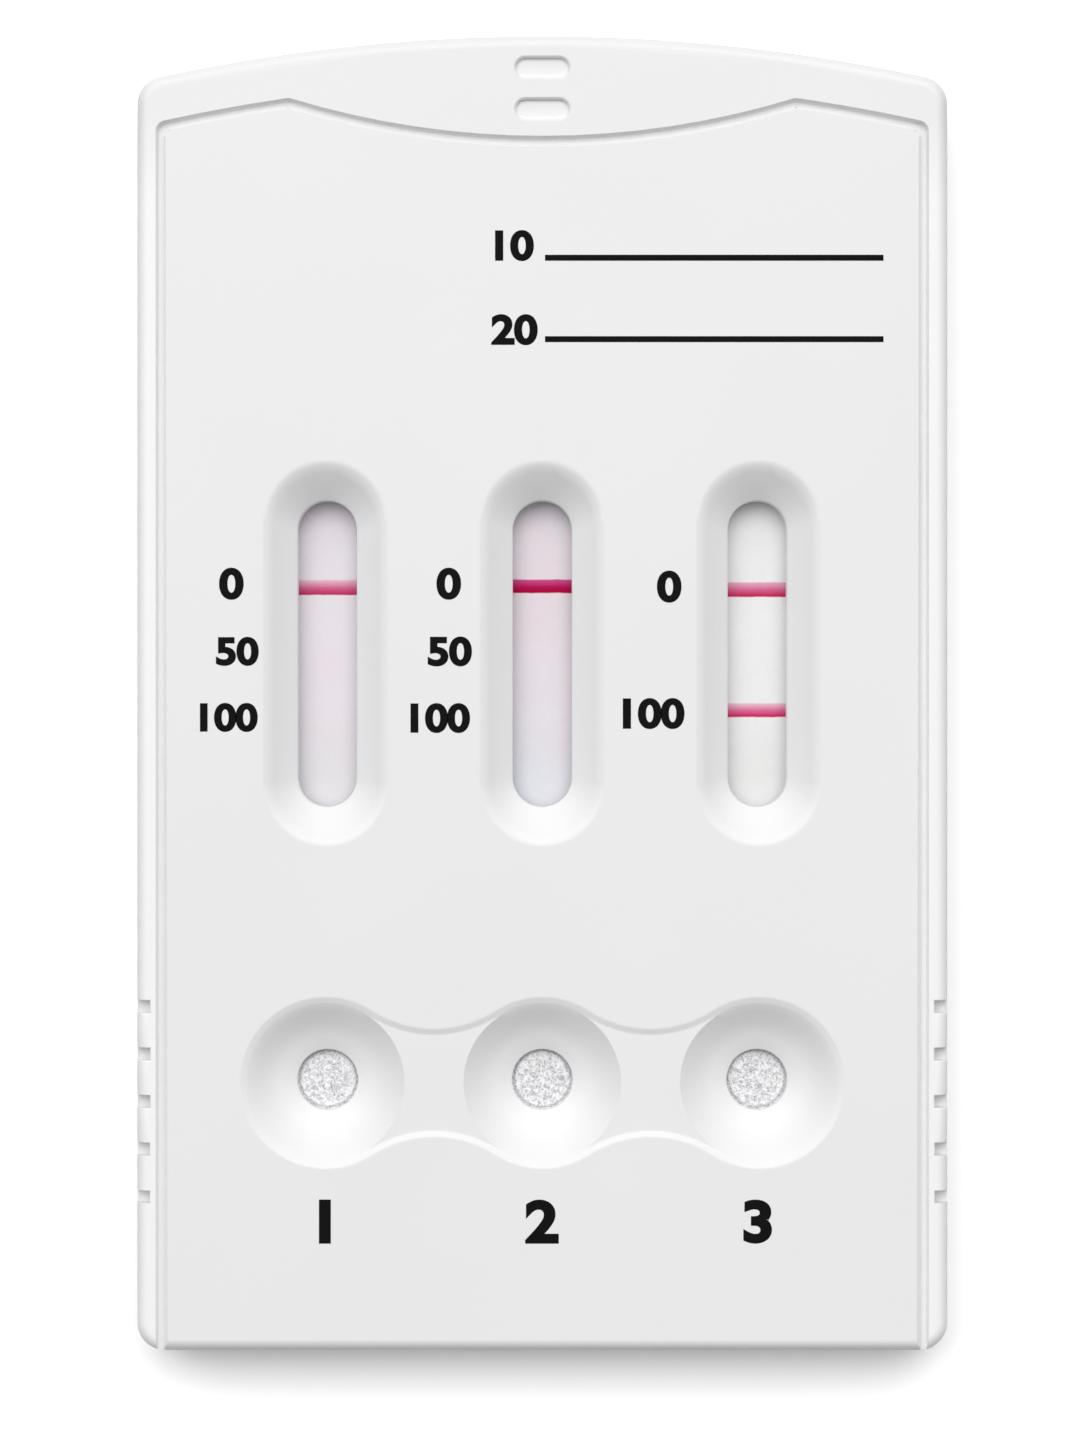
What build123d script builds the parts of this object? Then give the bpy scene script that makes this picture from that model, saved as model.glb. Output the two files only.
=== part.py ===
from build123d import *
import math
import os

# A lateral flow cassette with three test strips, lying on its back.
# X runs across it, Y towards the arched head and Z up from the surface that it rests on.
# The origin is under the middle of the case.

# Case outline and split
case_width = 45.0
case_length = 73.0
case_height = 5.2
parting_height = 2.2
crown_radius = 100.8
plan_corner_radius = 1.55
top_edge_radius = 0.7
bottom_edge_bevel = 0.4
parting_bevel = 0.08

# Walls of the two mouldings
side_wall = 1.2
top_wall = 1.2
floor_wall = 1.1
cavity_corner_radius = 0.6
lip_width = 0.5
lip_height = 0.5
lip_clearance = 0.03

# Groove between the rim and the panel
groove_width = 0.36
groove_depth = 0.45
groove_from_side = 1.37
groove_from_crown = 2.83
groove_peak_x = 14.05
groove_dip = 2.1
groove_corner_radius = 0.5
groove_peak_radius = 0.3
panel_edge_bevel = 0.2
groove_draft = 12.0

# Two shallow slots on the head
slot_length = 2.95
slot_width = 1.08
slot_depth = 0.3
slot_edge_bevel = 0.1
slot_from_crown = 1.84
slot_pitch = 2.3

# Grip notches in both sides of the rim
notch_count = 5
notch_pitch = 2.63
notch_width = 0.7
notch_reach = 0.78
notch_drop = 0.9
notch_middle_from_end = 13.85

# Strips. The membrane takes the length that the pads leave of the card.
strip_pitch = 12.0
strip_width = 4.0
card_from_end = 4.2
card_from_crown = 8.8
card_thickness = 0.25
sample_pad_length = 18.0
sample_pad_thickness = 0.6
conjugate_pad_length = 8.0
conjugate_pad_thickness = 0.4
membrane_thickness = 0.15
absorbent_pad_length = 15.0
absorbent_pad_thickness = 0.9
pad_overlap = 2.0
pad_ramp = 0.35

# Result windows
window_width = 3.3
window_from_pads = 1.95
window_gap = 0.4
funnel_depth = 1.5
funnel_side_run = 1.82
funnel_end_run = 2.2
funnel_run_shares = (1.0, 0.86, 0.68, 0.0)
funnel_depth_shares = (0.0, 0.06, 0.2, 1.0)
funnel_wall = 1.35

# Sample wells and the shallow channel that links them
well_from_conjugate_pad = 5.3
hole_diameter = 3.4
hole_lip = 0.5
bowl_diameter = 9.62
crease_diameter = 5.9
crease_rise = 0.6
rim_slope = 20.0
channel_depth = 0.16
channel_waist = 6.08
well_wall = 2.25

# Strip beds in the lower moulding
rail_width = 0.8
rail_rise = 0.5
rail_clearance = 0.1
bar_width = 1.0
bar_shares = (0.03, 0.167, 0.30, 0.42, 0.57, 0.71, 0.84, 0.97)

# Press ribs under the top wall
rib_width = 0.8
rib_length = 5.0
rib_height = 0.8

# Pins of the upper moulding and their sockets in the lower one
pin_diameter = 1.8
pin_clearance = 0.02
pin_floor_gap = 0.3
socket_wall = 0.7
socket_sides = 6
socket_gap = 1.2
pin_from_side = 4.5
side_pin_shares = (-0.43, 0.42)
inner_pin_shares = (-0.14, 0.42)

# One overrun for all cuts
overrun = 1.0

# Places that follow from the sizes above
half_width = case_width / 2
half_length = case_length / 2
crown_centre_y = half_length - crown_radius
ceiling_height = case_height - top_wall
strip_xs = (-strip_pitch, 0, strip_pitch)
link_xs = (-strip_pitch / 2, strip_pitch / 2)

card_start_y = card_from_end - half_length
card_end_y = half_length - card_from_crown
card_y = (card_start_y + card_end_y) / 2
card_length = card_end_y - card_start_y
absorbent_top = ceiling_height - rib_height
membrane_top = absorbent_top - absorbent_pad_thickness
card_top = membrane_top - membrane_thickness
bed_height = card_top - card_thickness
sample_end_y = card_start_y + sample_pad_length
conjugate_start_y = sample_end_y - pad_overlap
conjugate_end_y = conjugate_start_y + conjugate_pad_length
membrane_start_y = conjugate_end_y - pad_overlap
absorbent_start_y = card_end_y - absorbent_pad_length
membrane_end_y = absorbent_start_y + pad_overlap
membrane_length = membrane_end_y - membrane_start_y

window_y = (membrane_start_y + membrane_end_y) / 2
window_length = membrane_length - 2 * (pad_overlap + window_from_pads)
window_foot = membrane_top + window_gap

well_y = conjugate_start_y - well_from_conjugate_pad
well_foot = card_top + sample_pad_thickness
hole_top = well_foot + hole_lip
hole_radius = hole_diameter / 2
bowl_radius = bowl_diameter / 2
crease_radius = crease_diameter / 2
channel_floor = case_height - channel_depth
rim_foot_radius = bowl_radius - channel_depth / math.tan(math.radians(rim_slope))
waist_half = channel_waist / 2

side_pin_x = half_width - pin_from_side
pin_places = [(x, share * case_length) for x in (-side_pin_x, side_pin_x) for share in side_pin_shares]
pin_places += [(x, share * case_length) for x in link_xs for share in inner_pin_shares]
socket_bore = pin_diameter / 2 + pin_clearance
socket_radius = socket_bore + socket_wall

os.makedirs("parts", exist_ok=True)


# The plan of the case, drawn in from its outline by an inset
def case_plan(inset, corner_radius):
    side_x = half_width - inset
    end_y = inset - half_length
    arch_radius = crown_radius - inset
    shoulder_y = crown_centre_y + math.sqrt(arch_radius**2 - side_x**2)
    crown_y = crown_centre_y + arch_radius
    with BuildSketch() as plan:
        with BuildLine():
            ThreePointArc((-side_x, shoulder_y), (0, crown_y), (side_x, shoulder_y))
            Polyline((side_x, shoulder_y), (side_x, end_y), (-side_x, end_y), (-side_x, shoulder_y))
        make_face()
        fillet(plan.vertices(), radius=corner_radius)
    return plan.sketch


# The plan of the panel, drawn in by an inset from the middle of the groove.
# Its top runs along the arch to a peak on each side, with a shallow dip between them.
def panel_plan(inset):
    middle_radius = crown_radius - groove_from_crown
    middle_peak_y = crown_centre_y + math.sqrt(middle_radius**2 - groove_peak_x**2)
    middle_dip_radius = (groove_peak_x**2 + groove_dip**2) / (2 * groove_dip)
    dip_centre_y = middle_peak_y - groove_dip + middle_dip_radius

    side_x = half_width - groove_from_side - inset
    arch_radius = middle_radius - inset
    dip_radius = middle_dip_radius + inset
    square_gap = dip_radius**2 - arch_radius**2 + crown_centre_y**2 - dip_centre_y**2
    peak_y = square_gap / (2 * (crown_centre_y - dip_centre_y))
    peak_x = math.sqrt(arch_radius**2 - (peak_y - crown_centre_y) ** 2)
    between_x = (side_x + peak_x) / 2
    shoulder_y = crown_centre_y + math.sqrt(arch_radius**2 - side_x**2)
    between_y = crown_centre_y + math.sqrt(arch_radius**2 - between_x**2)
    dip_y = dip_centre_y - dip_radius
    end_y = -half_length - overrun
    with BuildSketch() as plan:
        with BuildLine():
            ThreePointArc((-side_x, shoulder_y), (-between_x, between_y), (-peak_x, peak_y))
            ThreePointArc((-peak_x, peak_y), (0, dip_y), (peak_x, peak_y))
            ThreePointArc((peak_x, peak_y), (between_x, between_y), (side_x, shoulder_y))
            Polyline((side_x, shoulder_y), (side_x, end_y), (-side_x, end_y), (-side_x, shoulder_y))
        make_face()
        top_corners = plan.vertices().sort_by(Axis.Y)[2:]
        fillet(top_corners.sort_by(Axis.Y)[:2], radius=groove_corner_radius)
        fillet(plan.vertices().sort_by(Axis.Y)[-2:], radius=groove_peak_radius)
    return plan.sketch


# The outline of the three bowls and of the channel that links them, as one run of tangent arcs.
# Each waist arc touches the two bowls beside it.
def channel_plan():
    waist_rise = strip_pitch**2 / 4 + waist_half**2 - bowl_radius**2
    waist_radius = waist_rise / (2 * (bowl_radius - waist_half))
    reach = bowl_radius + waist_radius
    touch_x = bowl_radius * (strip_pitch / 2) / reach
    touch_y = bowl_radius * (waist_half + waist_radius) / reach
    end_x = strip_pitch + bowl_radius
    with BuildSketch() as plan:
        with BuildLine():
            for side in (-1, 1):
                ThreePointArc(
                    (side * end_x, 0),
                    (side * strip_pitch, bowl_radius),
                    (side * (strip_pitch - touch_x), touch_y),
                )
                ThreePointArc(
                    (side * (strip_pitch - touch_x), touch_y),
                    (side * strip_pitch / 2, waist_half),
                    (side * touch_x, touch_y),
                )
            ThreePointArc((-touch_x, touch_y), (0, bowl_radius), (touch_x, touch_y))
            mirror(about=Plane.XZ)
        make_face()
    return plan.sketch


# The side view of a pad that steps from one height to another where it laps over its neighbour
def pad_side(start_y, ramp_start_y, ramp_end_y, end_y, start_z, end_z, thickness):
    with BuildSketch() as side:
        with BuildLine():
            Polyline(
                (start_y, start_z),
                (ramp_start_y, start_z),
                (ramp_end_y, end_z),
                (end_y, end_z),
                (end_y, end_z + thickness),
                (ramp_end_y, end_z + thickness),
                (ramp_start_y, start_z + thickness),
                (start_y, start_z + thickness),
                close=True,
            )
        make_face()
    return side.sketch


# The room that the groove takes out of the top face, with the panel's bevelled edge along one side
with BuildPart() as panel_block:
    with BuildSketch(Plane.XY.offset(case_height - groove_depth)):
        add(panel_plan(groove_width / 2))
    extrude(amount=groove_depth)
    chamfer(panel_block.faces().sort_by(Axis.Z)[-1].edges(), length=panel_edge_bevel)
with BuildPart() as groove:
    with BuildSketch(Plane.XY.offset(case_height - groove_depth)):
        add(panel_plan(-groove_width / 2))
    extrude(amount=groove_depth, taper=-groove_draft)
    add(panel_block.part, mode=Mode.SUBTRACT)


# Upper housing: one moulding, open below
with BuildPart() as upper_housing:
    with BuildSketch(Plane.XY.offset(parting_height)):
        add(case_plan(0, plan_corner_radius))
    extrude(amount=case_height - parting_height)
    fillet(upper_housing.faces().sort_by(Axis.Z)[-1].edges(), radius=top_edge_radius)
    chamfer(upper_housing.faces().sort_by(Axis.Z)[0].edges(), length=parting_bevel)

    # Groove round the panel, open through the end wall
    add(groove.part, mode=Mode.SUBTRACT)

    # Slots on the head
    slot_y = half_length - slot_from_crown
    with BuildSketch(Plane.XY.offset(case_height)):
        with Locations((0, slot_y), (0, slot_y - slot_pitch)):
            SlotOverall(slot_length, slot_width)
    extrude(amount=-slot_depth, mode=Mode.SUBTRACT)
    chamfer(upper_housing.edges(Select.LAST).group_by(Axis.Z)[-1], length=slot_edge_bevel)

    # Grip notches
    with BuildSketch(Plane.XY.offset(case_height)):
        with Locations((0, notch_middle_from_end - half_length)):
            with GridLocations(case_width, notch_pitch, 2, notch_count):
                Rectangle(2 * notch_reach, notch_width)
    extrude(amount=-notch_drop, mode=Mode.SUBTRACT)

    # Cavity, and the rebate that takes the lip of the lower housing
    with BuildSketch(Plane.XY.offset(parting_height)):
        add(case_plan(side_wall, cavity_corner_radius))
    extrude(amount=ceiling_height - parting_height, mode=Mode.SUBTRACT)
    with BuildSketch(Plane.XY.offset(parting_height)):
        add(case_plan(side_wall - lip_width - lip_clearance, plan_corner_radius - side_wall + lip_width))
    extrude(amount=lip_height + lip_clearance, mode=Mode.SUBTRACT)

    # Walls of the funnels and of the wells below the top wall
    with BuildSketch(Plane((0, window_y, ceiling_height))):
        with GridLocations(strip_pitch, 0, len(strip_xs), 1):
            SlotOverall(window_length + 2 * funnel_wall, window_width + 2 * funnel_wall, rotation=90)
    extrude(amount=window_foot - ceiling_height)
    with BuildSketch(Plane((0, well_y, ceiling_height))):
        with GridLocations(strip_pitch, 0, len(strip_xs), 1):
            Circle(hole_radius + well_wall)
    extrude(amount=well_foot - ceiling_height)

    # Press ribs, each down to the top of the pad below it
    lap = pad_overlap / 2
    rib_feet = (
        (sample_end_y - lap, card_top + conjugate_pad_thickness + sample_pad_thickness),
        (conjugate_end_y - lap, membrane_top + conjugate_pad_thickness),
        (absorbent_start_y + lap, absorbent_top),
        ((membrane_end_y + card_end_y) / 2, card_top + absorbent_pad_thickness),
        (card_end_y - lap, card_top + absorbent_pad_thickness),
    )
    for rib_y, rib_foot in rib_feet:
        with BuildSketch(Plane((0, rib_y, ceiling_height))):
            with GridLocations(strip_pitch, 0, len(strip_xs), 1):
                Rectangle(rib_length, rib_width)
        extrude(amount=rib_foot - ceiling_height)

    # Round pins
    with BuildSketch(Plane.XY.offset(ceiling_height)):
        with Locations(*pin_places):
            Circle(pin_diameter / 2)
    extrude(amount=floor_wall + pin_floor_gap - ceiling_height)

    # Result windows, each with a funnel that rolls over from the panel and then falls steeply
    for strip_x in strip_xs:
        for run_share, depth_share in zip(funnel_run_shares, funnel_depth_shares):
            with BuildSketch(Plane((strip_x, window_y, case_height - depth_share * funnel_depth))):
                end_run = run_share * funnel_end_run
                side_run = run_share * funnel_side_run
                SlotOverall(window_length + 2 * end_run, window_width + 2 * side_run, rotation=90)
        loft(ruled=True, mode=Mode.SUBTRACT)
        with BuildSketch(Plane((strip_x, window_y, case_height))):
            SlotOverall(window_length, window_width, rotation=90)
        extrude(amount=window_foot - case_height - overrun, mode=Mode.SUBTRACT)

    # Shallow channel with its sloping edge, then a bowl and a hole at each well
    with BuildSketch(Plane((0, well_y, case_height))):
        add(channel_plan())
    extrude(amount=-channel_depth, taper=90 - rim_slope, mode=Mode.SUBTRACT)
    for strip_x in strip_xs:
        with BuildSketch(Plane((strip_x, well_y, 0), x_dir=(1, 0, 0), z_dir=(0, -1, 0))):
            with BuildLine():
                Polyline(
                    (0, channel_floor),
                    (rim_foot_radius, channel_floor),
                    (crease_radius, hole_top + crease_rise),
                    (hole_radius, hole_top),
                    (hole_radius, well_foot - overrun),
                    (0, well_foot - overrun),
                    close=True,
                )
            make_face()
        revolve(axis=Axis((strip_x, well_y, 0), (0, 0, 1)), mode=Mode.SUBTRACT)
upper_housing.part.label = "upper_housing"
export_step(upper_housing.part, "parts/upper_housing.step")


# Lower housing: a tray with three strip beds and the pin sockets
with BuildPart() as lower_housing:
    with BuildSketch():
        add(case_plan(0, plan_corner_radius))
    extrude(amount=parting_height)
    chamfer(lower_housing.faces().sort_by(Axis.Z)[0].edges(), length=bottom_edge_bevel)
    chamfer(lower_housing.faces().sort_by(Axis.Z)[-1].edges(), length=parting_bevel)

    # Lip that locates the upper housing, then the cavity
    with BuildSketch(Plane.XY.offset(parting_height)):
        add(case_plan(side_wall - lip_width, plan_corner_radius - side_wall + lip_width))
    extrude(amount=lip_height)
    with BuildSketch(Plane.XY.offset(floor_wall)):
        add(case_plan(side_wall, cavity_corner_radius))
    extrude(amount=parting_height + lip_height - floor_wall, mode=Mode.SUBTRACT)

    # Strip beds: rails along the sides, a stop at each end and bars across
    bed_width = strip_width + 2 * rail_clearance
    bed_length = card_length + 2 * rail_clearance
    with BuildSketch(Plane((0, card_y, floor_wall))):
        with GridLocations(strip_pitch, 0, len(strip_xs), 1):
            Rectangle(bed_width + 2 * rail_width, bed_length + 2 * rail_width)
            Rectangle(bed_width, bed_length, mode=Mode.SUBTRACT)
    extrude(amount=bed_height + rail_rise - floor_wall)
    bar_places = [(x, card_start_y + share * card_length) for x in strip_xs for share in bar_shares]
    with BuildSketch(Plane.XY.offset(floor_wall)):
        with Locations(*bar_places):
            Rectangle(bed_width, bar_width)
    extrude(amount=bed_height - floor_wall)

    # Six-sided sockets, each flat of which grips the round pin
    with BuildSketch(Plane.XY.offset(floor_wall)):
        with Locations(*pin_places):
            RegularPolygon(socket_radius, socket_sides, major_radius=False)
            RegularPolygon(socket_bore, socket_sides, major_radius=False, mode=Mode.SUBTRACT)
    extrude(amount=ceiling_height - socket_gap - floor_wall)
lower_housing.part.label = "lower_housing"
export_step(lower_housing.part, "parts/lower_housing.step")


# Strips: a card each, with the membrane and three pads laid up on it in lapping order
for number, strip_x in enumerate(strip_xs, start=1):
    strip_plane = Plane.YZ.offset(strip_x)

    with BuildPart() as backing_card:
        with BuildSketch(Plane((strip_x, card_y, bed_height))):
            Rectangle(strip_width, card_length)
        extrude(amount=card_thickness)
    backing_card.part.label = f"backing_card_{number}"
    export_step(backing_card.part, f"parts/backing_card_{number}.step")

    with BuildPart() as membrane:
        with BuildSketch(Plane((strip_x, window_y, card_top))):
            Rectangle(strip_width, membrane_length)
        extrude(amount=membrane_thickness)
    membrane.part.label = f"membrane_{number}"
    export_step(membrane.part, f"parts/membrane_{number}.step")

    with BuildPart() as conjugate_pad:
        with BuildSketch(strip_plane):
            add(
                pad_side(
                    conjugate_start_y,
                    membrane_start_y - pad_ramp,
                    membrane_start_y,
                    conjugate_end_y,
                    card_top,
                    membrane_top,
                    conjugate_pad_thickness,
                )
            )
        extrude(amount=strip_width / 2, both=True)
    conjugate_pad.part.label = f"conjugate_pad_{number}"
    export_step(conjugate_pad.part, f"parts/conjugate_pad_{number}.step")

    with BuildPart() as sample_pad:
        with BuildSketch(strip_plane):
            add(
                pad_side(
                    card_start_y,
                    conjugate_start_y - pad_ramp,
                    conjugate_start_y,
                    sample_end_y,
                    card_top,
                    card_top + conjugate_pad_thickness,
                    sample_pad_thickness,
                )
            )
        extrude(amount=strip_width / 2, both=True)
    sample_pad.part.label = f"sample_pad_{number}"
    export_step(sample_pad.part, f"parts/sample_pad_{number}.step")

    with BuildPart() as absorbent_pad:
        with BuildSketch(strip_plane):
            add(
                pad_side(
                    absorbent_start_y,
                    membrane_end_y,
                    membrane_end_y + pad_ramp,
                    card_end_y,
                    membrane_top,
                    card_top,
                    absorbent_pad_thickness,
                )
            )
        extrude(amount=strip_width / 2, both=True)
    absorbent_pad.part.label = f"absorbent_pad_{number}"
    export_step(absorbent_pad.part, f"parts/absorbent_pad_{number}.step")
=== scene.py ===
import math
import random

import bpy
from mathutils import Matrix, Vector


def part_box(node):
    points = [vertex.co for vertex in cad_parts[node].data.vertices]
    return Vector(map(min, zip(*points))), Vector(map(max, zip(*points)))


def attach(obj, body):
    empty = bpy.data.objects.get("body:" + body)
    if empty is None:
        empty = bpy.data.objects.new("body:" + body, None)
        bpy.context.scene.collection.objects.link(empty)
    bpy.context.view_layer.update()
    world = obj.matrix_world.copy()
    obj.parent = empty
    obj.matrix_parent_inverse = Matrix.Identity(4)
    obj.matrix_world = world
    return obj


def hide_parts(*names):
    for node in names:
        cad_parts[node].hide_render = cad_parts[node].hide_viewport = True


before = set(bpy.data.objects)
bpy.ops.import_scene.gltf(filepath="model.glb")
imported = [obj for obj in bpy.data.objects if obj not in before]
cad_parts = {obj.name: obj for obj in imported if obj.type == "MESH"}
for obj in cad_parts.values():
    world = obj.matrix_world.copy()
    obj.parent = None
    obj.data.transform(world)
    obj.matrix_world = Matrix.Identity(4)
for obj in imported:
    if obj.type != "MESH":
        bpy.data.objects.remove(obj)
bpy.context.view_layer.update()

# A lateral flow cassette on a white table, seen from straight above.
# Sizes in the settings are in millimetres, and mm turns them to metres.
mm = 0.001
scene = bpy.context.scene
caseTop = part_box("upper_housing")[1].z
print("frame loaded, nodes:", len(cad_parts))


def linear(hexCode):
    # sRGB hex to the linear colour that the shader wants
    values = [int(hexCode[i:i + 2], 16) / 255 for i in (1, 3, 5)]
    return tuple(v / 12.92 if v <= 0.04045 else ((v + 0.055) / 1.055) ** 2.4 for v in values) + (1.0,)


def addNode(tree, kind, values=None, links=None, **settings):
    # one node, with its settings, its socket values and what feeds it
    node = tree.nodes.new(kind)
    for key, value in settings.items():
        setattr(node, key, value)
    for key, value in (values or {}).items():
        node.inputs[key].default_value = value
    for key, output in (links or {}).items():
        tree.links.new(output, node.inputs[key])
    return node


def newMaterial(name):
    material = bpy.data.materials.new(name)
    material.use_nodes = True
    tree = material.node_tree
    tree.nodes.clear()
    return material, tree


def selectOnly(*pieces):
    # leaves edit mode, and selects these pieces and nothing else
    if bpy.context.object and bpy.context.object.mode != "OBJECT":
        bpy.ops.object.mode_set(mode="OBJECT")
    bpy.ops.object.select_all(action="DESELECT")
    for piece in pieces:
        piece.select_set(True)
    if pieces:
        bpy.context.view_layer.objects.active = pieces[0]


def pickNothing(mesh):
    # clears what is selected in a mesh, before its faces or edges are picked by their place
    for part in (mesh.vertices, mesh.edges, mesh.polygons):
        part.foreach_set("select", [False] * len(part))


def editPicked(kind, operator, **settings):
    # one edit-mode operator on what is picked
    bpy.ops.object.mode_set(mode="EDIT")
    bpy.ops.mesh.select_mode(type=kind)
    operator(**settings)
    bpy.ops.object.mode_set(mode="OBJECT")


merging = {"weld": 0.0005, "flatAngle": 0.3}


def mergedCopy(node, name):
    # a CAD node's loose triangles, welded into one closed mesh with whole flat faces
    piece = bpy.data.objects.new(name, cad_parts[node].data.copy())
    piece.data.name = name
    scene.collection.objects.link(piece)
    selectOnly(piece)
    bpy.ops.mesh.customdata_custom_splitnormals_clear()
    bpy.ops.object.mode_set(mode="EDIT")
    bpy.ops.mesh.select_all(action="SELECT")
    bpy.ops.mesh.remove_doubles(threshold=merging["weld"] * mm)
    bpy.ops.mesh.dissolve_limited(angle_limit=math.radians(merging["flatAngle"]))
    bpy.ops.object.mode_set(mode="OBJECT")
    return piece


def dress(piece, material):
    piece.data.materials.clear()
    piece.data.materials.append(material)
    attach(piece, "root")


def applyAll(piece):
    selectOnly(piece)
    for modifier in list(piece.modifiers):
        bpy.ops.object.modifier_apply(modifier=modifier.name)


# High-impact polystyrene, injection moulded in a spark-eroded tool: opaque white, satin,
# with a grain of about 0.05 mm. The grain is drawn at 0.14 mm, or it wouldn't show.
# Outside the groove the strip along each side is painted paler, as a painted highlight where the rim catches
# the light.
def mouldedPolystyrene(name, plastic):
    material, tree = newMaterial(name)
    place = addNode(tree, "ShaderNodeTexCoord")
    grain = addNode(tree, "ShaderNodeTexNoise",
                    {"Scale": 1 / (plastic["grain"] * mm), "Detail": 2.0, "Roughness": 0.6},
                    {"Vector": place.outputs["Object"]})
    flow = addNode(tree, "ShaderNodeTexNoise", {"Scale": 1 / (plastic["flow"] * mm), "Detail": 2.0},
                   {"Vector": place.outputs["Object"]})
    tint = addNode(tree, "ShaderNodeValToRGB", None, {"Fac": flow.outputs["Fac"]})
    white = linear(plastic["colour"])
    tint.color_ramp.elements[0].position = 0.3
    tint.color_ramp.elements[0].color = [plastic["flowShade"] * c for c in white[:3]] + [1]
    tint.color_ramp.elements[1].position = 0.7
    tint.color_ramp.elements[1].color = white
    axes = addNode(tree, "ShaderNodeSeparateXYZ", None, {"Vector": place.outputs["Object"]})
    aside = addNode(tree, "ShaderNodeMath", None, {0: axes.outputs["X"]}, operation="ABSOLUTE")
    ways = {"aside": aside.outputs["Value"], "along": axes.outputs["Y"], "up": axes.outputs["Z"]}
    strip = None
    for way, value in ways.items():
        start, whole = plastic["paintedHighlight"][way]
        band = addNode(tree, "ShaderNodeMapRange", {"From Min": start * mm, "From Max": whole * mm},
                       {"Value": value})
        if strip is None:
            strip = band.outputs["Result"]
        else:
            both = addNode(tree, "ShaderNodeMath", None, {0: strip, 1: band.outputs["Result"]},
                           operation="MULTIPLY")
            strip = both.outputs["Value"]
    # painted highlight: the rim strips along the sides are mixed towards a paler colour
    tintAndHighlight = addNode(tree, "ShaderNodeMix", None, {"Factor": strip}, data_type="RGBA")
    tintAndHighlight.inputs["B"].default_value = linear(plastic["paintedHighlight"]["colour"])
    tree.links.new(tint.outputs["Color"], tintAndHighlight.inputs["A"])
    satin = addNode(tree, "ShaderNodeMapRange",
                    {"To Min": plastic["roughness"][0], "To Max": plastic["roughness"][1]},
                    {"Value": flow.outputs["Fac"]})
    bump = addNode(tree, "ShaderNodeBump", {"Strength": 0.12, "Distance": plastic["grainDepth"] * mm},
                   {"Height": grain.outputs["Fac"]})
    shader = addNode(tree, "ShaderNodeBsdfPrincipled", {"IOR": 1.55},
                     {"Base Color": tintAndHighlight.outputs["Result"], "Roughness": satin.outputs["Result"],
                      "Normal": bump.outputs["Normal"]})
    addNode(tree, "ShaderNodeOutputMaterial", None, {"Surface": shader.outputs["BSDF"]})
    return material


# Nitrocellulose membrane, cast and dried: a fine white sponge with pores of about 0.01 mm,
# dead matt. Its mottle is drawn at 0.2 mm. Each captured line is palest at its upper edge, and
# towards the well the sheet is made a little darker and less pink.
nitroSheet = {
    "mottle": 0.2,
    "mottleDepth": 0.01,
    "pores": (0.95, 1.03),     # shade in the pores and between them
    "clouds": 5.0,             # size of the patches between paper and stain
    "footTintRun": (-0.5, -4.8),    # the greying starts at this Y and is whole at the other
    "wander": 0.6,             # length of the waves in a line's edge
    "wanderRun": 0.04,         # how far they go each way
}


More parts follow.
